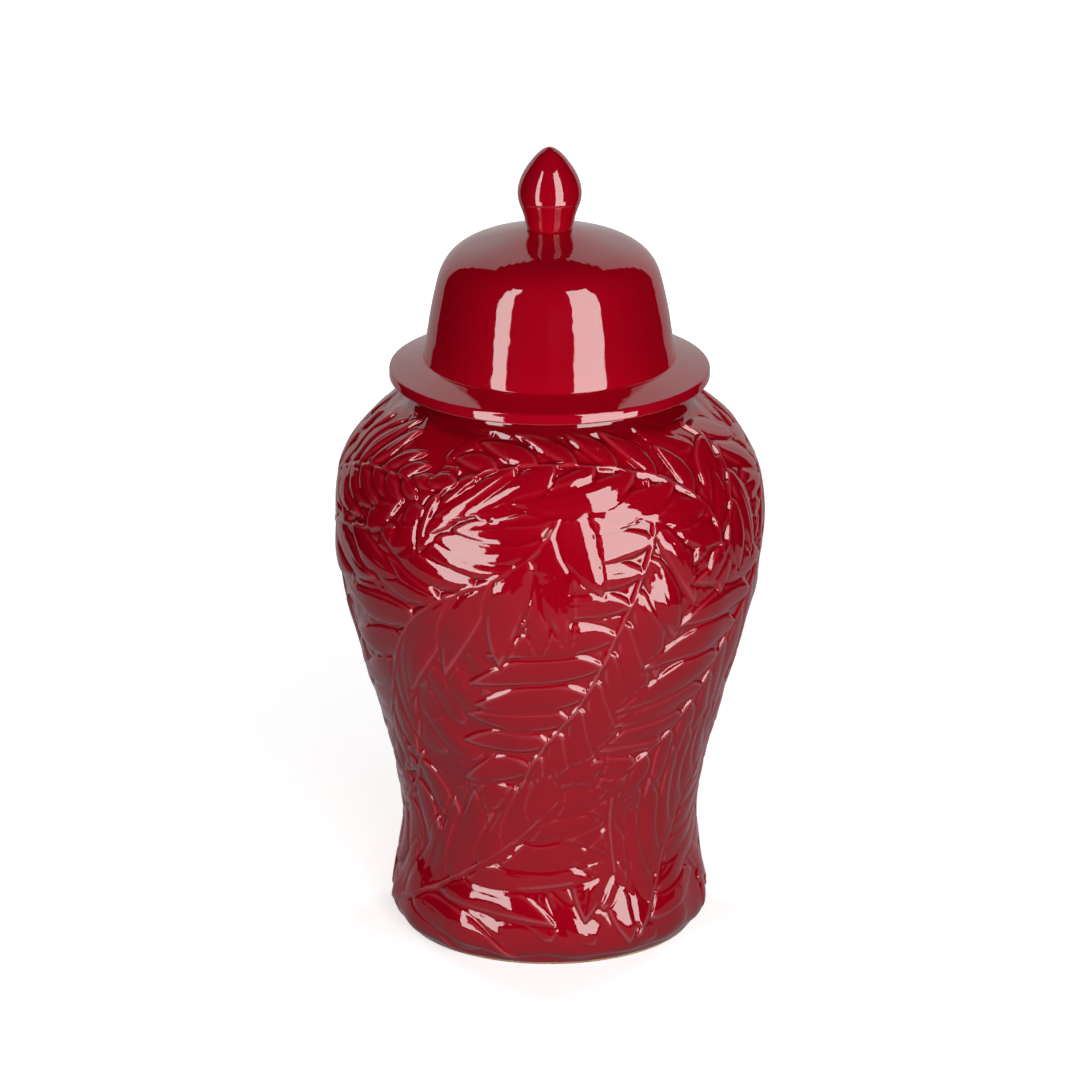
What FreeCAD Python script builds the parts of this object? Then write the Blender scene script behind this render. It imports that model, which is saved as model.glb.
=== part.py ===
"""Ginger jar: a lidded baluster jar in glazed stoneware, 460 mm tall and 245 mm across.

The jar is a slip-cast vessel with a short wide neck, standing on a bare clay foot ring.
The lid is a hat: a dome on a broad sloping brim, with a hollow bud-shaped knob luted to its crown
and a locating ring luted under it, which drops into the neck while the brim's seat rests on the rim.
The leaf relief of the jar is RELIEF deep, and the jar's outline here is the crest of that relief.

Frame: millimetres, +Z up, origin at the middle of the foot on the ground. Every piece is turned about Z.
"""
import FreeCAD
import Part
import os

V = FreeCAD.Vector

# Overall sizes
TOTAL_HEIGHT = 460.0
BELLY_RADIUS = 122.5
RELIEF = 3.0                 # crest of the leaves above the ground between them
JAR_WALL = 4.5 + RELIEF      # cast wall, measured from the crest of the relief
LID_WALL = 6.0

# Foot
FOOT_RADIUS = 82.0           # outside of the ring that stands on the ground
FOOT_INNER_RADIUS = 68.0
FOOT_REBATE = 3.0            # the ring is let into the body by this much all round
BARE_LINE = 1.2              # height of the clay line that shows below the glaze
RECESS = 6.0                 # hollow under the floor
FLOOR_THICKNESS = 8.0

# Neck and rim
NECK_RADIUS = 77.0
NECK_WALL = 6.5
NECK_ROOT = 320.4            # height where the shoulder has turned up into the neck
NECK_FILLET = 3.0
RIM_HEIGHT = 328.0           # the lid's seat
RIM_ROUND = 1.8

# Lid
SEAT_RADIUS = 79.0           # flat seat under the brim
BRIM_RADIUS = 90.6
BRIM_THICKNESS = 6.6
BRIM_TOP = 332.1             # upper corner of the brim's edge
BRIM_ROOT = 337.4            # where the brim's top runs into the dome
BRIM_FILLET = 1.5
DOME_RADIUS = 71.6
CROWN_HEIGHT = 412.6         # flat pad that carries the knob
VENT_RADIUS = 3.0            # lets the hollow knob breathe while it is fired
RING_CLEARANCE = 1.5         # between the locating ring and the neck
RING_WALL = 5.0
RING_DEPTH = 14.0

# Knob
KNOB_BASE_RADIUS = 12.3
KNOB_RADIUS = 18.1
KNOB_WALL = 5.0

NECK_BORE = NECK_RADIUS - NECK_WALL
RING_RADIUS = NECK_BORE - RING_CLEARANCE
RING_BORE = RING_RADIUS - RING_WALL
FLOOR_TOP = RECESS + FLOOR_THICKNESS

# Crest of the relief from the foot to the neck, as (radius, height)
JAR_OUTLINE = [
    (FOOT_RADIUS, BARE_LINE),
    (88.9, 5.2),
    (91.9, 14.2),
    (89.2, 31.0),
    (84.9, 62.0),
    (91.0, 105.0),
    (108.3, 166.5),
    (119.4, 211.0),
    (BELLY_RADIUS, 244.0),
    (118.9, 273.0),
    (106.4, 294.8),
    (95.7, 305.3),
    (86.6, 312.4),
    (NECK_RADIUS + 1.3, NECK_ROOT - 2.5),
]
# Outside of the dome from the brim to the knob's pad
DOME_OUTLINE = [
    (DOME_RADIUS, BRIM_ROOT + BRIM_FILLET),
    (69.8, 348.0),
    (67.7, 361.0),
    (64.6, 376.5),
    (59.6, 391.5),
    (51.3, 400.0),
    (39.0, 405.5),
    (26.0, 409.5),
    (14.0, CROWN_HEIGHT),
]
# Outside of the knob from its foot to its tip
KNOB_OUTLINE = [
    (KNOB_BASE_RADIUS, CROWN_HEIGHT),
    (13.7, 416.0),
    (14.5, 419.5),
    (17.3, 427.8),
    (KNOB_RADIUS, 433.4),
    (17.0, 439.8),
    (14.3, 446.0),
    (10.2, 452.0),
    (4.9, 457.3),
    (0.0, TOTAL_HEIGHT),
]


def at(point):
    """A (radius, height) pair as a point of the XZ half-plane."""
    return V(point[0], 0, point[1])


def smooth(points, start_direction, end_direction):
    """A spline through the points, leaving and arriving along the given (radial, up) directions."""
    places = [at(p) for p in points]
    lengths = [0.0]
    for before, after in zip(places, places[1:]):
        lengths.append(lengths[-1] + (after - before).Length)
    curve = Part.BSplineCurve()
    curve.interpolate(
        Points=places,
        Parameters=lengths,
        InitialTangent=at(start_direction).normalize(),
        FinalTangent=at(end_direction).normalize(),
        Scale=False,
    )
    return curve


def inside_of(curve, depth, low, high, count):
    """(radius, height) pairs at depth inside a profile curve, at count places between two heights."""
    pairs = []
    for i in range(count):
        height = low + (high - low) * i / (count - 1)
        level = Part.LineSegment(V(0, 0, height), V(2 * BELLY_RADIUS, 0, height))
        hit = curve.intersect(level)[0]
        tangent = curve.tangent(curve.parameter(V(hit.X, hit.Y, hit.Z)))[0]
        inward = V(-tangent.z, 0, tangent.x)
        pairs.append((hit.X + depth * inward.x, height + depth * inward.z))
    return pairs


def line(start, end):
    return Part.LineSegment(at(start), at(end)).toShape()


def quarter(start, end, centre):
    """A short round from start to end about centre."""
    c = at(centre)
    radius = (at(start) - c).Length
    middle = c + ((at(start) + at(end)) * 0.5 - c).normalize() * radius
    return Part.Arc(at(start), middle, at(end)).toShape()


def turned(edges):
    """The solid swept by a closed outline in the XZ half-plane turning about Z."""
    face = Part.Face(Part.Wire(edges))
    return face.revolve(V(0, 0, 0), V(0, 0, 1), 360)


def jar_body():
    """The cast vessel: floor, wall, shoulder and neck in one piece, with the rebate that takes the foot ring."""
    outside = smooth(JAR_OUTLINE, (1.0, 0.4), (-1.0, 0.65))
    inner = inside_of(outside, JAR_WALL, 26.0, 312.0, 10)
    corner = (FOOT_RADIUS - 12.0, FLOOR_TOP)
    throat = (NECK_BORE, NECK_ROOT - 5.0)
    inside = smooth([corner] + inner + [throat], (1.0, 0.0), (0.0, 1.0))
    rebate = FOOT_RADIUS - FOOT_REBATE
    shoulder_of_rim = RIM_HEIGHT - RIM_ROUND
    return turned([
        outside.toShape(),
        quarter(
            JAR_OUTLINE[-1],
            (NECK_RADIUS, NECK_ROOT),
            (NECK_RADIUS + NECK_FILLET, NECK_ROOT),
        ),
        line((NECK_RADIUS, NECK_ROOT), (NECK_RADIUS, shoulder_of_rim)),
        quarter(
            (NECK_RADIUS, shoulder_of_rim),
            (NECK_RADIUS - RIM_ROUND, RIM_HEIGHT),
            (NECK_RADIUS - RIM_ROUND, shoulder_of_rim),
        ),
        line((NECK_RADIUS - RIM_ROUND, RIM_HEIGHT), (NECK_BORE + RIM_ROUND, RIM_HEIGHT)),
        quarter(
            (NECK_BORE + RIM_ROUND, RIM_HEIGHT),
            (NECK_BORE, shoulder_of_rim),
            (NECK_BORE + RIM_ROUND, shoulder_of_rim),
        ),
        line((NECK_BORE, shoulder_of_rim), throat),
        inside.toShape(),
        line(corner, (0, FLOOR_TOP)),
        line((0, FLOOR_TOP), (0, RECESS)),
        line((0, RECESS), (rebate, RECESS)),
        line((rebate, RECESS), (rebate, BARE_LINE)),
        line((rebate, BARE_LINE), (FOOT_RADIUS, BARE_LINE)),
    ])


def foot_ring():
    """The bare clay ring that the jar stands on, let into the body so that only its lowest edge shows."""
    soften = 0.5
    rebate = FOOT_RADIUS - FOOT_REBATE
    corners = [
        (FOOT_INNER_RADIUS + soften, 0),
        (FOOT_RADIUS - soften, 0),
        (FOOT_RADIUS, soften),
        (FOOT_RADIUS, BARE_LINE),
        (rebate, BARE_LINE),
        (rebate, RECESS),
        (FOOT_INNER_RADIUS, RECESS),
        (FOOT_INNER_RADIUS, soften),
    ]
    return turned([line(a, b) for a, b in zip(corners, corners[1:] + corners[:1])])


def lid_shell():
    """Dome and brim in one casting, with a flat seat under the brim and a vent through the crown."""
    dome = smooth(DOME_OUTLINE, (-0.1, 1.0), (-1.0, 0.2))
    inner = inside_of(dome, LID_WALL, 346.0, 402.0, 7)
    ceiling = (VENT_RADIUS, CROWN_HEIGHT - LID_WALL - 0.5)
    skirt = (DOME_RADIUS - LID_WALL, BRIM_ROOT + BRIM_FILLET)
    cavity = smooth([skirt] + inner + [ceiling], (0.0, 1.0), (-1.0, 0.0))
    underside = BRIM_TOP - BRIM_THICKNESS
    lower_round = 1.0
    upper_round = 2.2
    return turned([
        line((RING_BORE, RIM_HEIGHT), (SEAT_RADIUS, RIM_HEIGHT)),
        line((SEAT_RADIUS, RIM_HEIGHT), (BRIM_RADIUS - lower_round, underside)),
        quarter(
            (BRIM_RADIUS - lower_round, underside),
            (BRIM_RADIUS, underside + lower_round),
            (BRIM_RADIUS - lower_round, underside + lower_round),
        ),
        line((BRIM_RADIUS, underside + lower_round), (BRIM_RADIUS, BRIM_TOP - upper_round)),
        quarter(
            (BRIM_RADIUS, BRIM_TOP - upper_round),
            (BRIM_RADIUS - upper_round, BRIM_TOP),
            (BRIM_RADIUS - upper_round, BRIM_TOP - upper_round),
        ),
        line((BRIM_RADIUS - upper_round, BRIM_TOP), (DOME_RADIUS + BRIM_FILLET, BRIM_ROOT)),
        quarter(
            (DOME_RADIUS + BRIM_FILLET, BRIM_ROOT),
            DOME_OUTLINE[0],
            (DOME_RADIUS + BRIM_FILLET, BRIM_ROOT + BRIM_FILLET),
        ),
        dome.toShape(),
        line(DOME_OUTLINE[-1], (VENT_RADIUS, CROWN_HEIGHT)),
        line((VENT_RADIUS, CROWN_HEIGHT), ceiling),
        cavity.toShape(),
        line(skirt, (RING_BORE, RIM_HEIGHT + 5.0)),
        line((RING_BORE, RIM_HEIGHT + 5.0), (RING_BORE, RIM_HEIGHT)),
    ])


def lid_locating_ring():
    """The ring luted under the lid, which keeps it centred in the neck."""
    soften = 1.2
    bottom = RIM_HEIGHT - RING_DEPTH
    corners = [
        (RING_BORE, RIM_HEIGHT),
        (RING_RADIUS, RIM_HEIGHT),
        (RING_RADIUS, bottom + soften),
        (RING_RADIUS - soften, bottom),
        (RING_BORE + soften, bottom),
        (RING_BORE, bottom + soften),
    ]
    return turned([line(a, b) for a, b in zip(corners, corners[1:] + corners[:1])])


def lid_knob():
    """The hollow bud-shaped knob, open at its foot over the vent."""
    bud = smooth(KNOB_OUTLINE, (0.6, 1.0), (-1.0, 0.4))
    inner = inside_of(bud, KNOB_WALL, 422.0, 447.0, 4)
    mouth = (KNOB_BASE_RADIUS - KNOB_WALL, CROWN_HEIGHT)
    peak = (0.0, TOTAL_HEIGHT - 1.6 * KNOB_WALL)
    hollow = smooth([mouth] + inner + [peak], (0.2, 1.0), (-1.0, 0.1))
    return turned([
        bud.toShape(),
        line(KNOB_OUTLINE[-1], peak),
        hollow.toShape(),
        line(mouth, KNOB_OUTLINE[0]),
    ])


PIECES = {
    "jar_body": jar_body,
    "foot_ring": foot_ring,
    "lid_shell": lid_shell,
    "lid_locating_ring": lid_locating_ring,
    "lid_knob": lid_knob,
}

os.makedirs("parts", exist_ok=True)
for name, make in PIECES.items():
    solid = make()
    if not solid.isValid() or solid.ShapeType != "Solid":
        raise RuntimeError(f"{name} is a {solid.ShapeType}, valid: {solid.isValid()}")
    solid.exportStep(os.path.join("parts", name + ".step"))
    box = solid.optimalBoundingBox(False)
    print(f"{name}: {solid.Volume / 1000:.0f} cm3, radius {box.XMax:.1f}, z {box.ZMin:.1f} to {box.ZMax:.1f}")
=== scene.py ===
"""The look of the ginger jar: leaf relief, glaze, bare clay, and the studio it stands in.

Outlines are (radius, height) in millimetres, as in the CAD part. Places on the jar's wall are
(degrees round from the front, millimetres up). Relief is in millimetres, 0 at the crest and negative inwards.
"""
import math

import bpy
import numpy as np
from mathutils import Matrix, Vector


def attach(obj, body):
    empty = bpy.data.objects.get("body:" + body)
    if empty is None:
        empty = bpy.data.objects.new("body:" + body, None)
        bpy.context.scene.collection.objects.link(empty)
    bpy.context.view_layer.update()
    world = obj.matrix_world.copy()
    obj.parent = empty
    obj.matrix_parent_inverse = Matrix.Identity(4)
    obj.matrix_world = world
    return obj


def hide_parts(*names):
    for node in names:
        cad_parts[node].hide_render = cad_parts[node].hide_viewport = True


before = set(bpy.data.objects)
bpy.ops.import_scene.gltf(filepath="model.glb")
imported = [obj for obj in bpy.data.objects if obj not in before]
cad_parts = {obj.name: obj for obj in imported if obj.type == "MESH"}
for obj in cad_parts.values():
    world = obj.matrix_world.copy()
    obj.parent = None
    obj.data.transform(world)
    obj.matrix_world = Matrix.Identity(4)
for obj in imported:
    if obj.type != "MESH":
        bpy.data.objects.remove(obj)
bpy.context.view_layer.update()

MM = 0.001                   # metres in a millimetre
DEEP = -2.3                  # the ground between the leaves
PROUD = 0.5                  # how far hand-made waves may lift a crest
MARGIN = 6.0                 # the relief fades out over this much at the foot and at the neck
MEAN_RADIUS = 105.0          # mean radius of the wall, for drawing stems
JAR_WALL = 7.5               # thickness of the jar's wall under a crest
LID_WALL = 6.0               # and of the lid's
AROUND = 1500                # mesh columns round the jar
AROUND_RING = 480            # mesh columns round a clay ring
STAGE_RADIUS = 0.64          # the studio's paper and wall stand this far from the jar's axis
BOX_RADIUS = 0.63            # the soft boxes stand just in front of them
rng = np.random.default_rng(7)


# ---------------------------------------------------------------- outlines

def lengths(line):
    """How far along the line each of its points is."""
    return np.r_[0, np.cumsum(np.hypot(*np.diff(line, axis=0).T))]


def spline(points, start, end, spacing):
    """Points about spacing apart on the smooth curve through points, with the given end directions."""
    p = np.array(points, float)
    t = lengths(p)
    h = np.diff(t)
    n = len(p)
    a = np.zeros((n, n))
    b = np.zeros((n, 2))
    a[0, 0] = a[-1, -1] = 1
    b[0] = np.array(start) / math.hypot(*start)
    b[-1] = np.array(end) / math.hypot(*end)
    for i in range(1, n - 1):
        a[i, i - 1:i + 2] = h[i], 2 * (h[i - 1] + h[i]), h[i - 1]
        b[i] = 3 * (h[i] * (p[i] - p[i - 1]) / h[i - 1] + h[i - 1] * (p[i + 1] - p[i]) / h[i])
    m = np.linalg.solve(a, b)
    fine = []
    for i in range(n - 1):
        u = np.linspace(0, 1, 200, endpoint=i == n - 2)[:, None]
        fine.append(
            (2 * u**3 - 3 * u**2 + 1) * p[i] + (u**3 - 2 * u**2 + u) * h[i] * m[i]
            + (3 * u**2 - 2 * u**3) * p[i + 1] + (u**3 - u**2) * h[i] * m[i + 1]
        )
    return even(np.vstack(fine), spacing)


def even(points, spacing):
    """The same line with points about spacing apart."""
    p = np.array(points, float)
    t = lengths(p)
    u = np.linspace(0, t[-1], max(2, round(t[-1] / spacing) + 1))
    return np.c_[np.interp(u, t, p[:, 0]), np.interp(u, t, p[:, 1])]


def arc(centre, radius, start, end, count=8):
    """Points on an arc, from angle start to angle end in degrees from outwards, turning towards up."""
    a = np.radians(np.linspace(start, end, count))
    return np.c_[centre[0] + radius * np.cos(a), centre[1] + radius * np.sin(a)]


def inside_of(line, depth):
    """The line moved to depth inside the wall whose outside it is."""
    d = np.gradient(line, axis=0)
    d /= np.hypot(*d.T)[:, None]
    return line + depth * np.c_[-d[:, 1], d[:, 0]]


def chain(*lines):
    """The lines joined end to end, with doubled points left out."""
    p = np.vstack(lines)
    keep = np.r_[True, np.hypot(*np.diff(p, axis=0).T) > 0.02]
    return p[keep]


def ease(x):
    """0 to 1, smooth at both ends."""
    x = np.clip(x, 0, 1)
    return x * x * (3 - 2 * x)


def unevenness(rows_mm, radius, seed, slow=0.03, quick=0.005):
    """Hand-made waves on a turned surface in mm: slow ones about 40 mm long and quick ones of about 6."""
    r = np.random.default_rng(seed)
    theta = np.linspace(0, 2 * math.pi, AROUND, endpoint=False)[None, :]
    s = np.asarray(rows_mm)[:, None]
    total = np.zeros((len(s), AROUND))
    for size, length, count in ((slow, 40.0, 14), (quick, 6.0, 40)):
        for _ in range(count):
            way = r.uniform(0, math.pi)
            turns = round(2 * math.pi * radius / length * math.cos(way))
            rise = 2 * math.pi / length * math.sin(way) * r.uniform(0.7, 1.4)
            total += size * np.sin(turns * theta + rise * s + r.uniform(0, 2 * math.pi)) * (2 / count)**0.5
    return total


# ---------------------------------------------------------------- meshes

def turned(name, line, body, nodes, push=None, closed=False, around=AROUND, marks=None):
    """A piece turned about Z from a line in mm that runs anticlockwise round its section.

    push moves the surface outwards by mm, per row and column. marks are point attributes by name: how deep
    the glaze lies, which also carries painted shade in hollows and under the brim; where it is bare; and
    where an edge has worn it thin, which also carries a painted reflection of the pale floor as a paler line.
    """
    line = np.asarray(line, float)
    rows = len(line)
    d = np.roll(line, -1, 0) - np.roll(line, 1, 0) if closed else np.gradient(line, axis=0)
    d /= np.maximum(np.hypot(*d.T), 1e-9)[:, None]
    push = np.zeros((rows, around)) if push is None else push
    r = line[:, :1] + push * d[:, 1:]
    z = line[:, 1:] - push * d[:, :1]
    theta = np.linspace(0, 2 * math.pi, around, endpoint=False)[None, :]
    co = np.stack([r * np.sin(theta), -r * np.cos(theta), z + 0 * theta], -1) * MM
    index = np.arange(rows * around).reshape(rows, around)
    poles = [] if closed else [i for i in (0, rows - 1) if line[i, 0] < 0.01]
    for i in poles:
        index[i] = index[i, 0]
        co[i, 0] = 0, 0, line[i, 1] * MM
    lower = index if closed else index[:-1]
    upper = np.roll(index, -1, 0) if closed else index[1:]
    quads = np.stack([lower, np.roll(lower, -1, 1), np.roll(upper, -1, 1), upper], -1).reshape(-1, 4)
    used = np.unique(quads)
    renumber = np.zeros(rows * around, np.int32)
    renumber[used] = np.arange(len(used))
    quads = renumber[quads]
    at_bottom = quads[:, 0] == quads[:, 1]
    at_top = quads[:, 2] == quads[:, 3]
    whole = quads[~(at_bottom | at_top)]
    threes = np.vstack([quads[at_bottom][:, [0, 2, 3]], quads[at_top][:, [0, 1, 2]]])
    loops = np.r_[whole.ravel(), threes.ravel()].astype(np.int32)
    sizes = np.r_[np.full(len(whole), 4), np.full(len(threes), 3)].astype(np.int32)
    mesh = bpy.data.meshes.new(name)
    mesh.vertices.add(len(used))
    mesh.vertices.foreach_set("co", co.reshape(-1, 3)[used].ravel())
    mesh.loops.add(len(loops))
    mesh.loops.foreach_set("vertex_index", loops)
    mesh.polygons.add(len(sizes))
    mesh.polygons.foreach_set("loop_start", np.r_[0, np.cumsum(sizes)[:-1]].astype(np.int32))
    mesh.update(calc_edges=True)
    mesh.validate()
    mesh.polygons.foreach_set("use_smooth", np.ones(len(mesh.polygons), bool))
    for key, values in (marks or {}).items():
        values = np.broadcast_to(values, (rows, around)).reshape(-1)[used]
        mesh.attributes.new(key, "FLOAT", "POINT").data.foreach_set("value", values.astype(np.float32))
    mesh.set_sharp_from_angle(angle=math.radians(55))
    piece = bpy.data.objects.new(name, mesh)
    bpy.context.collection.objects.link(piece)
    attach(piece, body)
    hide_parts(*nodes)
    return piece


# ---------------------------------------------------------------- leaf relief

WALL_LINE = spline(
    [(82, 1.2), (88.9, 5.2), (91.9, 14.2), (89.2, 31), (84.9, 62), (91, 105), (108.3, 166.5), (119.4, 211),
     (122.5, 244), (118.9, 273), (106.4, 294.8), (95.7, 305.3), (86.6, 312.4), (78.3, 317.9)],
    (1.0, 0.4), (-1.0, 0.65), 0.52,
)
ALONG = lengths(WALL_LINE)
RADIUS = WALL_LINE[:, 0]
THETA = np.linspace(0, 2 * math.pi, AROUND, endpoint=False)
relief = np.full((len(WALL_LINE), AROUND), DEEP)


def place(point):
    """(degrees, height) as (radians, mm along the wall from the foot)."""
    return np.array([math.radians(point[0]), np.interp(point[1], WALL_LINE[:, 1], ALONG)])


def patch(theta, along, reach):
    """Rows and columns of the relief within reach of a place, with their distances across and up in mm."""
    rows = np.nonzero(np.abs(ALONG - along) < reach)[0]
    turn = (THETA - theta + math.pi) % (2 * math.pi) - math.pi
    columns = np.nonzero(np.abs(turn) * RADIUS[rows].min() < reach)[0]
    across = turn[columns][None, :] * RADIUS[rows][:, None]
    return np.ix_(rows, columns), across, (ALONG[rows] - along)[:, None]


def blade(root, heading, length, width, bend, high, tilt):
    """One leaflet laid over what is there: a flat lance with rounded edges and a faint midrib."""
    where, x, y = patch(root[0], root[1], length + width)
    ux, uy = math.cos(heading), math.sin(heading)
    a = (x * ux + y * uy) / length
    body = np.clip(a, 0, 1)
    c = -x * uy + y * ux - 4 * bend * length * body * (1 - body)
    half = 0.5 * width * body**0.6 * (1 - body)**0.9 / 0.3535
    beyond = np.maximum(-a, a - 1) * length
    inside = np.where(beyond > 0, -np.hypot(c, beyond), half - np.abs(c))
    q = np.clip(c / np.maximum(half, 0.4), -1, 1)
    cover = ease((inside + 0.3) / 0.8)
    rib = np.exp(-(c / 0.7)**2) * ease(5 * body) * ease(3 * (1 - body))
    arched = (0.95 * q**2 - tilt * q) * half / (0.5 * width)
    top = high - arched - 0.15 * np.abs(q)**9 - 0.2 * rib - 0.25 * body**3
    gutter = np.exp(-((inside + 0.7) / 0.9)**2)
    under = relief[where] - 0.65 * gutter * (1 - cover)
    relief[where] = under * (1 - cover) + np.minimum(top, 0) * cover


def stem_line(points, count=90):
    """Even points along a stem, as (radians, mm along the wall)."""
    p = np.array([place(q) for q in points])
    p[:, 0] *= MEAN_RADIUS
    line = spline(p, p[1] - p[0], p[-1] - p[-2], 1.0)
    t = np.linspace(0, len(line) - 1, count)
    k = np.arange(len(line))
    return np.c_[np.interp(t, k, line[:, 0]) / MEAN_RADIUS, np.interp(t, k, line[:, 1])]


def frond(points, count, left, right, width, sweep=0.06, tip=26.0, thick=1.4):
    """A stem from root to tip with leaflets on both sides.

    left and right are (length mm, degrees off the stem). sweep bends the leaflets towards the frond's tip, or
    away from it if negative. Upper leaflets lie over lower ones, so what shows of a step is its lower edge.
    """
    line = stem_line(points)
    leaflets = []
    for i in range(count):
        for side, (length, off) in ((1, left), (-1, right)):
            t = (i + (0.25 if side > 0 else 0.7)) / count
            k = t * (len(line) - 1)
            j = min(int(k), len(line) - 2)
            root = line[j] + (line[j + 1] - line[j]) * (k - j)
            step = (line[j + 1] - line[j]) * (np.interp(root[1], ALONG, RADIUS), 1)
            heading = math.atan2(step[1], step[0])
            heading += side * math.radians(off * (1.08 - 0.42 * t) + rng.normal(0, 2.5))
            size = (0.72 + 0.5 * math.sin(math.pi * min(1, 0.12 + 0.95 * t))) * (1 - 0.35 * t**3)
            slim = (length / max(left[0], right[0]))**0.5
            long = length * size * rng.uniform(0.93, 1.07)
            wide = width * (0.8 + 0.25 * size) * slim * rng.uniform(0.92, 1.08)
            top = root[1] + 0.5 * long * math.sin(heading)
            leaflets.append((top, root, heading, long, wide, side * (sweep + rng.uniform(-0.025, 0.025))))
    end = line[-1] - line[-3]
    heading = math.atan2(end[1], end[0] * np.interp(line[-1][1], ALONG, RADIUS))
    leaflets.append((line[-1][1] - 10, line[-1], heading, tip, width * 0.95, 0.03))
    for top, root, heading, long, wide, bend in sorted(leaflets, key=lambda leaflet: leaflet[0]):
        tilt = -0.15 * math.cos(heading) + rng.uniform(-0.1, 0.1)
        blade(root, heading, long, wide, bend, rng.uniform(-0.35, 0), tilt)
    stem(line, thick)


def stem(line, thick):
    """The stem, a raised round cord that thins towards its tip, laid over the leaflets' roots."""
    middle = line.mean(0)
    r = np.interp(middle[1], ALONG, RADIUS)
    reach = np.hypot((line[:, 0] - middle[0]) * r, line[:, 1] - middle[1]).max() * 1.35 + 8
    where, x, y = patch(middle[0], middle[1], reach)
    rows = where[0].ravel()
    nearest = np.full(x.shape, 1e9)
    for point in stem_line_dense(line):
        px = (point[0] - middle[0]) * RADIUS[rows][:, None]
        far = np.hypot(x - px, y - (point[1] - middle[1])) / (thick * (1 - 0.55 * point[2]))
        nearest = np.minimum(nearest, far)
    cover = ease((1.6 - nearest) / 1.1)
    gutter = np.exp(-((nearest - 2.1) / 0.6)**2)
    top = -0.15 - 0.18 * nearest**2
    under = relief[where] - 0.12 * gutter * (1 - cover)
    relief[where] = under * (1 - cover) + top * cover


def stem_line_dense(line):
    """The stem's points twice as close, each with how far along it is from 0 to 1."""
    t = np.linspace(0, 1, 2 * len(line))
    s = t * (len(line) - 1)
    return np.c_[
        np.interp(s, np.arange(len(line)), line[:, 0]), np.interp(s, np.arange(len(line)), line[:, 1]), t
    ]


def soften(field, passes):
    """Blurs a field that is joined round its columns and open at its rows."""
    for _ in range(passes):
        field = 0.25 * np.roll(field, 1, 1) + 0.5 * field + 0.25 * np.roll(field, -1, 1)
        padded = np.pad(field, ((1, 1), (0, 0)), mode="edge")
        field = 0.25 * padded[:-2] + 0.5 * field + 0.25 * padded[2:]
    return field


def thicket():
    """Low leaves that fill the ground, so that no wall shows between the fronds."""
    for row, height in enumerate(range(14, 312, 22)):
        for column in range(24):
            bearing = 15 * column + 7.5 * (row % 2) + rng.uniform(-3, 3)
            here = place((bearing, height + rng.uniform(-4, 4)))
            heading = math.radians(90 + rng.choice([-1, 1]) * rng.uniform(25, 60))
            length, width = rng.uniform(42, 58), rng.uniform(16, 21)
            blade(here, heading, length, width, rng.uniform(-0.1, 0.1), rng.uniform(-1.7, -1.2), 0.3)


def face(half_turn):
    """One face of the jar, from the leaves underneath to those on top."""
    def at(*points):
        return [(bearing + half_turn, height) for bearing, height in points]

    # leaves on the sides and at the foot
    frond(
        at((-104, 30), (-96, 58), (-88, 90), (-84, 125), (-86, 160), (-92, 195)),
        7, (52, 42), (52, 42), 19, sweep=-0.07,
    )
    frond(at((92, 20), (88, 50), (84, 85), (84, 120), (88, 155)), 6, (50, 42), (50, 42), 19, sweep=-0.07)
    frond(at((24, 118), (23, 96), (24, 74), (26, 54)), 3, (52, 28), (52, 28), 21, tip=44)
    frond(at((-50, 120), (-58, 101), (-68, 84), (-80, 70), (-94, 58)), 5, (44, 50), (50, 56), 18)

    # narrow leaves hanging between the big fronds, and one standing at the foot
    frond(at((5, 290), (2, 268), (-1, 248), (-3, 230)), 4, (42, 22), (42, 22), 12, tip=40, thick=0.9)
    blade(place(*at((-25, 84))), math.radians(78), 50, 19, 0.06, -0.6, 0.1)

    # the three big hanging fronds: centre, right and left
    frond(
        at((31, 294), (29, 268), (25, 241), (20, 216), (15, 190), (8, 162), (0, 142), (-7, 122), (-12, 102)),
        11, (56, 40), (68, 66), 17.5, sweep=0.05, tip=34,
    )
    frond(
        at((88, 256), (78, 232), (71, 211), (63, 190), (56, 168), (48, 147), (38, 130), (28, 119)),
        9, (54, 40), (64, 54), 17, sweep=0.06, tip=32,
    )
    blade(place(*at((-9, 262))), math.radians(-98), 60, 17, 0.03, -0.5, 0.1)
    blade(place(*at((-1, 270))), math.radians(-93), 70, 19, -0.03, -0.35, -0.1)
    frond(
        at(
            (6, 296), (1, 274), (-7, 255), (-18, 241), (-31, 227), (-42, 208), (-50, 185), (-56, 163),
            (-63, 141), (-71, 118),
        ),
        11, (66, 38), (64, 52), 18.5, sweep=-0.05, tip=34,
    )

    # two low fronds rising to the right
    frond(
        at((-84, 14), (-67, 25), (-50, 38), (-38, 49), (-25, 62), (-10, 80), (3, 101)),
        7, (58, 40), (70, 42), 19, sweep=-0.07, tip=38,
    )
    frond(
        at((34, 16), (43, 38), (50, 60), (58, 82), (66, 105), (74, 130)),
        8, (54, 38), (54, 42), 17, sweep=-0.05,
    )

    # upper right: fronds hanging from the neck
    frond(at((98, 300), (92, 286), (84, 270), (76, 256)), 4, (40, 44), (40, 44), 14)
    frond(at((60, 312), (64, 298), (62, 284), (57, 266), (55, 246)), 5, (46, 44), (50, 44), 15)

    # upper left: two fronds rising to the right, the upper one fanning out under the neck
    frond(at((-106, 226), (-90, 240), (-74, 250), (-58, 257), (-46, 264)), 4, (44, 40), (50, 38), 18)
    frond(at((-104, 250), (-92, 268), (-78, 281), (-62, 289), (-46, 290)), 9, (42, 54), (38, 48), 11)

    # the arch under the neck, with leaflets hanging inside it
    frond(
        at(
            (53, 246), (51, 264), (45, 282), (33, 296), (15, 303.5), (-5, 304.5), (-21, 300), (-33, 288),
            (-39, 272),
        ),
        9, (62, 38), (34, 32), 16, sweep=0.08,
    )


thicket()
face(180)
face(0)

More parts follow.
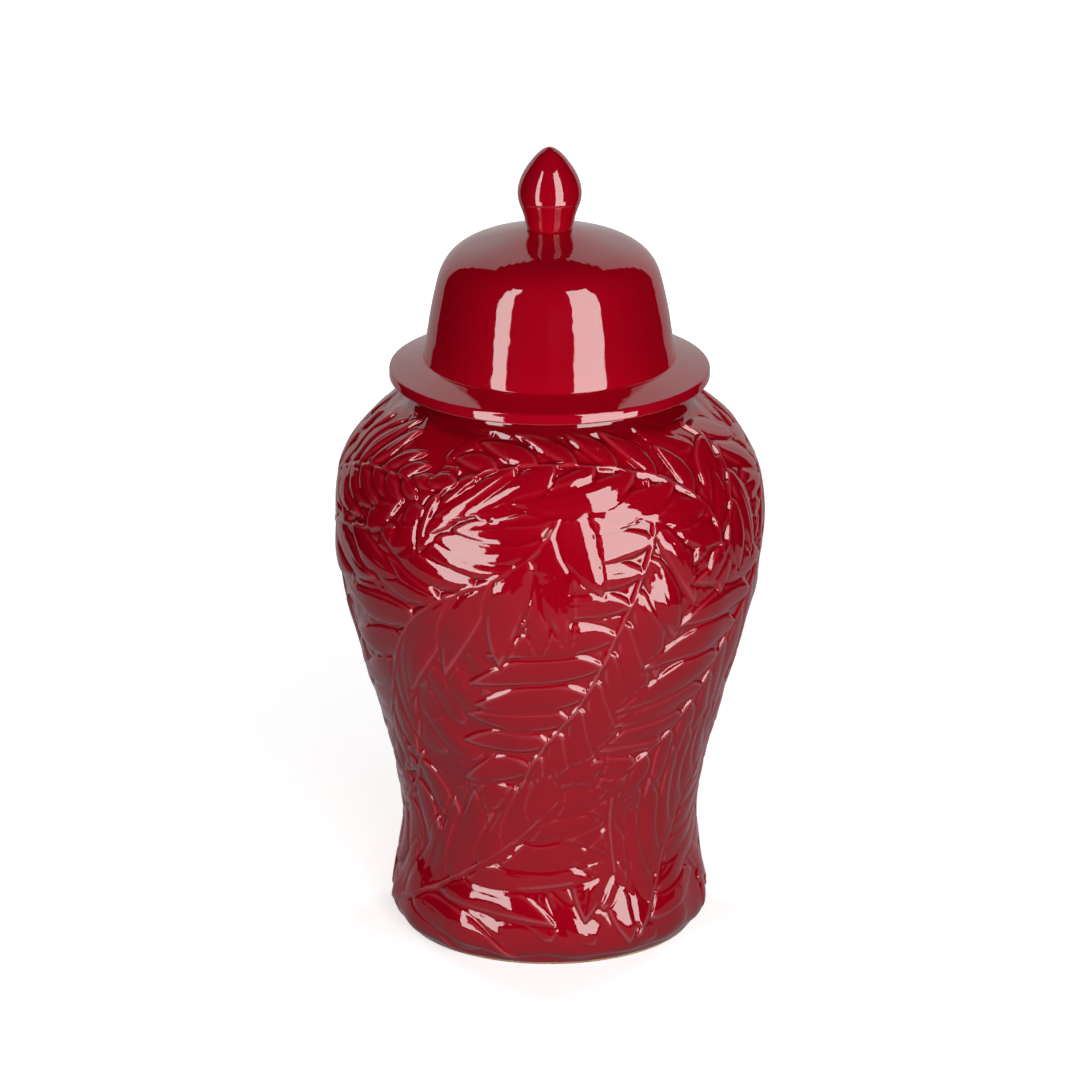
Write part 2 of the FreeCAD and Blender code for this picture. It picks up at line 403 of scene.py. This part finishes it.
relief = soften(np.clip(relief, DEEP, 0), 4)
broad = soften(relief, 26)
upper = ease((WALL_LINE[:, 1] - 185) / 80)[:, None]

# The glaze is thin on edges, more so low down, and pools in hollows, more so on the shoulder. The pale
# edges are also a painted reflection of the pale floor, and the dark hollows are also painted shade.
rim_and_reflection = np.clip((relief - soften(relief, 9)) * 6.0 - 0.25, 0, 0.8) * (1 - 0.6 * upper)
pool_and_shade = np.clip(0.5 + (broad - relief) * (0.2 + 0.22 * upper), 0, 1)

# The relief is calmer on the lower half, and the whole wall has hand-made waves.
relief = broad + (relief - broad) * (0.7 + 0.3 * upper)
relief = np.minimum(relief + unevenness(ALONG, MEAN_RADIUS, 3, 0.4, 0.006), PROUD)

margin = ease(np.minimum(ALONG / MARGIN, (ALONG[-1] - ALONG) / MARGIN))[:, None]
relief = relief * margin
pool_and_shade = 0.5 + (pool_and_shade - 0.5) * margin
rim_and_reflection = rim_and_reflection * margin


# ---------------------------------------------------------------- pieces

def jar():
    """The cast vessel with its relief, rim and inside."""
    inner = inside_of(WALL_LINE, JAR_WALL)
    inner = inner[(inner[:, 1] > 26) & (inner[:, 1] < 309)]
    inner = spline(
        np.vstack([[(70, 14)], inner[::42], [(70.5, 315.4)]]), (1.0, 0.0), (0.0, 1.0), 3.0
    )[::-1]
    below = chain(
        even([(0, 6), (79, 6)], 6.0), even([(79, 6), (79, 1.2)], 2.4), even([(79, 1.2), (82, 1.2)], 1.5)
    )
    neck = chain(
        arc((80, 320.4), 3.0, 236, 180, 7),
        even([(77, 320.4), (77, 326.2)], 1.4),
        arc((75.2, 326.2), 1.8, 0, 90, 7),
        even([(75.2, 328), (72.3, 328)], 1.0),
        arc((72.3, 326.2), 1.8, 90, 180, 7),
        even([(70.5, 326.2), (70.5, 315.4)], 2.0),
        inner,
        even([(70, 14), (0, 14)], 6.0),
    )
    line = np.vstack([below[:-1], WALL_LINE, neck[1:]])
    start, end = len(below) - 1, len(below) - 1 + len(WALL_LINE)
    push = np.zeros((len(line), AROUND))
    push[start:end] = relief
    pooled_and_shaded = np.full((len(line), AROUND), 0.5)
    # Darker towards the top of the wall and on the neck under the brim: painted shade under the brim. The rim
    # and the inside get the same darker glaze.
    pooled_and_shaded[start:end] = pool_and_shade + 0.3 * ease((WALL_LINE[:, 1:] - 309) / 8)
    pooled_and_shaded[end:] = 0.8
    worn_and_reflecting = np.zeros((len(line), AROUND))
    # paler edges: glaze worn thin there, and a painted reflection of the pale floor
    worn_and_reflecting[start:end] = rim_and_reflection
    bare = np.zeros((len(line), 1))
    bare[:start, 0] = 1.0
    bare[(line[:, 1] > 327.4) & (line[:, 0] < 76.5)] = 1.0
    return turned(
        "glazed_jar", line, "jar", ["jar_body"], push,
        marks={"pool_and_shade": pooled_and_shaded, "bare": bare, "rim_and_reflection": worn_and_reflecting},
    )


def foot():
    """The bare clay ring that the jar stands on."""
    line = chain(
        arc((68.6, 0.6), 0.6, 180, 270, 5), even([(68.6, 0), (81.4, 0)], 1.6),
        arc((81.4, 0.6), 0.6, 270, 360, 5), [(82, 1.2)], even([(82, 1.2), (79, 1.2)], 1.5),
        even([(79, 1.2), (79, 6)], 1.6), even([(79, 6), (68, 6)], 2.2), even([(68, 6), (68, 0.6)], 1.8)[:-1],
    )
    return turned(
        "clay_foot_ring", line, "jar", ["foot_ring"], closed=True,
        around=AROUND_RING,
    )


def lid():
    """Dome and brim."""
    dome = spline(
        [(71.6, 338.9), (69.8, 348), (67.7, 361), (64.6, 376.5), (59.6, 391.5), (51.3, 400), (39, 405.5),
         (26, 409.5), (14, 412.6)],
        (-0.1, 1.0), (-1.0, 0.2), 0.9,
    )
    inner = inside_of(dome, LID_WALL)
    inner = inner[(inner[:, 1] > 345) & (inner[:, 0] > 14)]
    cavity = spline(
        np.vstack([[(65.6, 338.9)], inner[::14], [(3, 406.1)]]), (0.0, 1.0), (-1.0, 0.0), 2.5
    )[::-1]
    outside = chain(
        even([(64, 328), (79, 328)], 2.5), even([(79, 328), (89.6, 325.5)], 1.8),
        arc((89.6, 326.5), 1.0, 280, 360, 6), even([(90.6, 326.5), (90.6, 329.9)], 0.8),
        arc((88.4, 329.9), 2.2, 0, 72, 9), even([(89.1, 332.0), (73.1, 337.4)], 1.2),
        arc((73.1, 338.9), 1.5, 252, 184, 5), dome, even([(14, 412.6), (3, 412.6)], 2.0),
    )
    line = chain(
        outside, even([(3, 412.6), (3, 406.1)], 2.0), cavity, [(64, 333)],
        even([(64, 333), (64, 328)], 1.7)[:-1],
    )
    glazed = np.zeros(len(line))
    glazed[:len(outside)] = ease((np.arange(len(outside)) - 12) / 12.0)
    push = (unevenness(lengths(line), 68, 11) - 0.05) * glazed[:, None]
    bare = ease((82 - line[:, 0]) / 3) * (line[:, 1] < 333.5) + 0.3 * ease((326.2 - line[:, 1]) / 0.6)
    # The brim's edge is painted a lighter red: thinner glaze over the edge, and painted light where the edge
    # catches the lamps.
    edge = ease((line[:, 0] - 87) / 3.0)
    return turned(
        "glazed_lid", line, "lid", ["lid_shell"], push, closed=True,
        marks={"pool_and_shade": 0.5 - 0.12 * edge[:, None], "bare": np.clip(bare, 0, 1)[:, None]},
    )


def locating_ring():
    """The ring under the lid."""
    line = chain(
        arc((65.2, 315.2), 1.2, 180, 270, 6), arc((67.8, 315.2), 1.2, 270, 360, 6),
        even([(69, 315.2), (69, 328)], 1.6), even([(69, 328), (64, 328)], 1.6),
        even([(64, 328), (64, 315.2)], 1.6)[:-1],
    )
    return turned(
        "clay_locating_ring", line, "lid", ["lid_locating_ring"], closed=True,
        around=AROUND_RING,
    )


def knob():
    """The bud on the crown, a little lopsided as it was luted on by hand."""
    bud = spline(
        [(12.3, 412.6), (13.7, 416), (14.5, 419.5), (17.3, 427.8), (18.1, 433.4), (17, 439.8), (14.3, 446),
         (10.2, 452), (5.1, 457.5), (0, 459.9)],
        (0.6, 1.0), (-1.0, 0.1), 0.35,
    )
    hollow = spline(
        [(0, 452), (6.5, 448.5), (11.5, 440), (12.6, 433), (9.5, 422), (7.3, 412.6)],
        (1.0, 0.0), (-0.2, -1.0), 1.5,
    )
    line = chain(hollow, even([(7.3, 412.6), (12.3, 412.6)], 1.6), bud)
    outer = ease((np.arange(len(line)) - (len(line) - len(bud))) / 8.0)
    outer *= ease((len(line) - 1 - np.arange(len(line))) / 12.0)
    push = (unevenness(lengths(line), 16, 5, 0.02, 0.004)[:, ::3] - 0.04) * outer[:, None]
    return turned(
        "glazed_knob", line, "lid", ["lid_knob"], push, around=AROUND // 3,
        marks={"pool_and_shade": 0.47, "bare": 0.0},
    )


# ---------------------------------------------------------------- materials

def wire(tree, kind, **inputs):
    """A node with its settings and inputs, linked where an input is given a socket. i0 is the first input."""
    node = tree.nodes.new(kind)
    for key, value in inputs.items():
        if key in node.bl_rna.properties:
            setattr(node, key, value)
            continue
        numbered = key[0] == "i" and key[1:].isdigit()
        socket = node.inputs[int(key[1:]) if numbered else key.replace("_", " ")]
        if isinstance(value, bpy.types.NodeSocket):
            tree.links.new(value, socket)
        else:
            socket.default_value = value
    return node


def noise(tree, coords, scale, detail, roughness=0.5):
    """Soft noise from 0 to 1."""
    node = wire(tree, "ShaderNodeTexNoise", Vector=coords, Scale=scale, Detail=detail, Roughness=roughness)
    return node.outputs["Fac"]


def remap(tree, value, start, end, low, high):
    """value from start to end as low to high, and held beyond them."""
    return wire(tree, "ShaderNodeMapRange", Value=value, i1=start, i2=end, i3=low, i4=high).outputs[0]


def times_plus(tree, value, factor, added):
    """value times factor plus added."""
    return wire(tree, "ShaderNodeMath", operation="MULTIPLY_ADD", i0=value, i1=factor, i2=added).outputs[0]


def mix(tree, factor, first, second):
    """first where factor is 0 and second where it is 1."""
    return wire(tree, "ShaderNodeMix", data_type="RGBA", i0=factor, i6=first, i7=second).outputs[2]


def mark(tree, name):
    """A point attribute of the mesh."""
    return wire(tree, "ShaderNodeAttribute", attribute_name=name).outputs["Fac"]


def ramp(tree, factor, stops):
    """A colour ramp over factor, from (position, colour) stops."""
    node = wire(tree, "ShaderNodeValToRGB", Fac=factor)
    node.color_ramp.interpolation = "EASE"
    while len(node.color_ramp.elements) < len(stops):
        node.color_ramp.elements.new(0.5)
    for element, (position, colour) in zip(node.color_ramp.elements, stops):
        element.position = position
        element.color = (*colour, 1)
    return node.outputs["Color"]


def paint(name):
    """A new material, with its node tree, its Principled shader and the object's own coordinates."""
    material = bpy.data.materials.new(name)
    material.use_nodes = True
    tree = material.node_tree
    coords = wire(tree, "ShaderNodeTexCoord").outputs["Object"]
    return material, tree, tree.nodes["Principled BSDF"], coords


def clay_colour(tree, coords, grains):
    """Sandy buff clay with darker grains and a faint fired blush."""
    fine = ramp(
        tree, grains, [(0.3, (0.42, 0.25, 0.14)), (0.52, (0.66, 0.46, 0.31)), (0.8, (0.8, 0.64, 0.48))]
    )
    warm = ramp(tree, noise(tree, coords, 38.0, 3.0), [(0.35, (0.7, 0.42, 0.26)), (0.65, (1.0, 0.93, 0.85))])
    mixed = wire(tree, "ShaderNodeMix", data_type="RGBA", blend_type="MULTIPLY", i0=0.7, i6=fine, i7=warm)
    return mixed.outputs[2]


def clay_grains(tree, coords):
    """The grain of the clay."""
    return noise(tree, coords, 900.0, 6.0, 0.7)


def glaze(name, bump_height):
    """Crimson glaze, darker where it pools and thinner on edges, with pinholes and a faint orange peel; the
    darkening also paints shade into hollows and under the brim, and the thin edges also paint a paler
    reflection of the pale floor.
    """
    material, tree, shader, coords = paint(name)

    drift = times_plus(tree, noise(tree, coords, 24.0, 4.0, 0.55), 0.16, -0.08)
    # how deep the glaze lies, plus random drift: deeper is darker, and this also carries painted shade in
    # hollows and under the brim
    depth = wire(tree, "ShaderNodeMath", operation="ADD", i0=mark(tree, "pool_and_shade"), i1=drift).outputs[0]
    red = ramp(tree, depth, [
        (0.12, (0.62, 0.012, 0.03)), (0.4, (0.455, 0.0015, 0.014)), (0.56, (0.41, 0.0007, 0.0105)),
        (0.8, (0.23, 0.0004, 0.006)), (1.0, (0.13, 0.0003, 0.004)),
    ])
    # paler pink on edges where the glaze wears thin, and a painted reflection of the pale floor there
    red = mix(tree, mark(tree, "rim_and_reflection"), red, (0.5, 0.085, 0.105, 1))

    specks = wire(tree, "ShaderNodeTexVoronoi", Vector=coords, Scale=240.0, Randomness=1.0)
    pinhole = remap(tree, specks.outputs["Distance"], 0.0, 0.09, 1.0, 0.0)
    rare = remap(tree, noise(tree, coords, 90.0, 0.0), 0.62, 0.66, 0.0, 1.0)
    hole = wire(tree, "ShaderNodeMath", operation="MULTIPLY", i0=pinhole, i1=rare).outputs[0]
    red = mix(tree, hole, red, (0.16, 0.002, 0.006, 1))

    bare = mark(tree, "bare")
    colour = mix(tree, bare, red, clay_colour(tree, coords, clay_grains(tree, coords)))
    tree.links.new(colour, shader.inputs["Base Color"])
    tree.links.new(remap(tree, bare, 0.0, 1.0, 0.045, 0.75), shader.inputs["Roughness"])
    shader.inputs["IOR"].default_value = 1.52

    peel = times_plus(tree, noise(tree, coords, 650.0, 1.0), 0.12, noise(tree, coords, 130.0, 2.0))
    height = times_plus(tree, hole, -0.6, peel)
    bump = wire(tree, "ShaderNodeBump", Strength=0.35, Distance=bump_height, Height=height)
    tree.links.new(bump.outputs["Normal"], shader.inputs["Normal"])
    return material


def bare_clay():
    """Unglazed fired clay."""
    material, tree, shader, coords = paint("bare_clay")
    grains = clay_grains(tree, coords)
    tree.links.new(clay_colour(tree, coords, grains), shader.inputs["Base Color"])
    tree.links.new(remap(tree, grains, 0.2, 0.8, 0.9, 0.65), shader.inputs["Roughness"])
    bump = wire(tree, "ShaderNodeBump", Strength=0.6, Distance=0.0003, Height=grains)
    tree.links.new(bump.outputs["Normal"], shader.inputs["Normal"])
    return material


# ---------------------------------------------------------------- studio

def seen_by(sheet, camera=False, glossy=False):
    """Which rays meet this sheet. It lights nothing and casts no shadow."""
    sheet.visible_camera = camera
    sheet.visible_diffuse = False
    sheet.visible_glossy = glossy
    sheet.visible_transmission = camera
    sheet.visible_volume_scatter = False
    sheet.visible_shadow = False


def sheet_of(name, corners, faces, material):
    """A stage sheet from its corners."""
    mesh = bpy.data.meshes.new(name)
    mesh.from_pydata(corners, [], faces)
    mesh.materials.append(material)
    sheet = bpy.data.objects.new(name, mesh)
    bpy.context.collection.objects.link(sheet)
    return sheet


def glow(name, colour, low, high, foot=0.0, head=1.0):
    """Light of a strength that goes from low at foot metres up to high at head."""
    material = bpy.data.materials.new(name)
    material.use_nodes = True
    tree = material.node_tree
    tree.nodes.clear()
    coords = wire(tree, "ShaderNodeTexCoord").outputs["Object"]
    height = wire(tree, "ShaderNodeSeparateXYZ", Vector=coords).outputs["Z"]
    strength = remap(tree, height, foot, head, low, high)
    emission = wire(tree, "ShaderNodeEmission", Color=(*colour, 1), Strength=strength)
    wire(tree, "ShaderNodeOutputMaterial", Surface=emission.outputs[0])
    return material


def card(name, material, radius, start, end, low, high):
    """A curved sheet about the jar that only reflections see, from bearing start to end in degrees."""
    angles = np.radians(np.linspace(start, end, int(abs(end - start) / 4) + 2))
    corners = [(radius * math.sin(a), -radius * math.cos(a), z) for z in (low, high) for a in angles]
    n = len(angles)
    sheet = sheet_of(name, corners, [(i, i + 1, n + i + 1, n + i) for i in range(n - 1)], material)
    seen_by(sheet, glossy=True)


def lamp(name, stand, target, size, watts):
    """A soft white area lamp that reflections don't see."""
    data = bpy.data.lights.new(name, "AREA")
    data.shape = "RECTANGLE"
    data.size, data.size_y = size
    data.energy = watts
    holder = bpy.data.objects.new(name, data)
    bpy.context.collection.objects.link(holder)
    holder.location = stand
    aim = Vector(target) - Vector(stand)
    holder.rotation_euler = aim.to_track_quat("-Z", "Y").to_euler()
    holder.visible_glossy = False


def glowing_floor_paint():
    """Pale matt paper that glows, weakly near the jar and more strongly away from it, so that it goes on to
    pure white: painted light.
    """
    material, tree, shader, coords = paint("floor")
    pale = ramp(tree, noise(tree, coords, 60.0, 3.0), [(0.3, (0.88, 0.88, 0.88)), (0.7, (0.91, 0.91, 0.91))])
    tree.links.new(pale, shader.inputs["Base Color"])
    shader.inputs["Roughness"].default_value = 0.95
    shader.inputs["Specular IOR Level"].default_value = 0.0
    shader.inputs["Emission Color"].default_value = (1, 1, 1, 1)
    # painted light: the paper's glow grows with distance from the jar
    away = wire(tree, "ShaderNodeVectorMath", operation="LENGTH", i0=coords).outputs["Value"]
    tree.links.new(remap(tree, away, 0.5, 2.6, 0.62, 1.05), shader.inputs["Emission Strength"])
    return material


def surroundings():
    """Pale floor and white world for the camera; paper, soft boxes and a pale wall for reflections."""
    wide = 14
    corners = [(-wide, -wide, 0), (wide, -wide, 0), (wide, wide, 0), (-wide, wide, 0)]
    floor = sheet_of("floor", corners, [(0, 1, 2, 3)], glowing_floor_paint())
    seen_by(floor, camera=True)

    world = bpy.data.worlds.new("studio")
    bpy.context.scene.world = world
    world.use_nodes = True
    background = world.node_tree.nodes["Background"]
    background.inputs["Color"].default_value = (1, 1, 1, 1)
    background.inputs["Strength"].default_value = 1.05
    world.cycles_visibility.diffuse = False
    world.cycles_visibility.glossy = False

    round_the_jar = np.radians(np.arange(0, 360, 5))
    edge = [(STAGE_RADIUS * math.sin(a), -STAGE_RADIUS * math.cos(a), -0.0005) for a in round_the_jar]
    dull = glow("floor_bounce", (1, 0.9, 0.96), 0.36, 0.36)
    seen_by(sheet_of("floor_bounce", edge, [tuple(range(len(edge)))], dull), glossy=True)

    box = glow("soft_box", (1.0, 0.97, 0.95), 9.8, 9.8)
    card("soft_box_left", box, BOX_RADIUS, -51, -37, 0.18, 1.15)
    card("soft_box_left_foot", box, BOX_RADIUS, -51.5, -30, 0.03, 0.18)
    card("soft_box_right", box, BOX_RADIUS, 21.5, 49.5, 0.18, 1.15)
    card("soft_box_right_foot", box, BOX_RADIUS, 21.5, 61, 0.03, 0.18)
    wall = glow("pale_wall", (1, 0.985, 0.98), 0.42, 1.2, 0.2, 0.75)
    card("pale_wall", wall, STAGE_RADIUS, 128, 232, 0.0, 1.3)


def lamps():
    """Soft light from the front, from behind on both sides and from above."""
    lamp("key", (0.2, -1.3, 0.6), (0, 0, 0.35), (0.5, 0.5), 9.8)
    lamp("left", (-1.1, -1.7, 0.6), (0, 0, 0.25), (0.6, 1.2), 8)
    lamp("right", (1.3, -1.5, 0.6), (0, 0, 0.25), (0.6, 1.2), 8)
    lamp("back_left", (-1.2, 1.6, 0.5), (0, 0, 0.25), (0.6, 1.2), 20)
    lamp("back_right", (1.2, 1.6, 0.5), (0, 0, 0.25), (0.6, 1.2), 20)
    lamp("above", (0, 0.3, 2.4), (0, 0, 0), (1.5, 1.5), 2)


def camera_in_front():
    """A long lens that looks down on the jar, with the jar a little right of the frame's middle."""
    data = bpy.data.cameras.new("camera")
    data.sensor_width = 36.0
    data.lens = 293.4
    data.clip_end = 60
    camera = bpy.data.objects.new("camera", data)
    bpy.context.collection.objects.link(camera)
    distance = 5.0
    rise = math.radians(19.3)
    right = Vector((1, 0, 0))
    up = Vector((0, math.sin(rise), math.cos(rise)))
    aim = Vector((0, 0, 0.230)) - 0.0054 * right - 0.0031 * up
    camera.location = aim + distance * Vector((0, -math.cos(rise), math.sin(rise)))
    camera.rotation_euler = (math.radians(90) - rise, 0, 0)
    bpy.context.scene.camera = camera
    bpy.context.scene.view_settings.view_transform = "Standard"
    bpy.context.scene.view_settings.look = "None"


relief_glaze = glaze("red_glaze_relief", 0.00012)
plain_glaze = glaze("red_glaze", 0.00008)
clay = bare_clay()
for make, material in (
    (jar, relief_glaze), (foot, clay), (lid, plain_glaze), (locating_ring, clay), (knob, plain_glaze),
):
    make().data.materials.append(material)
surroundings()
lamps()
camera_in_front()
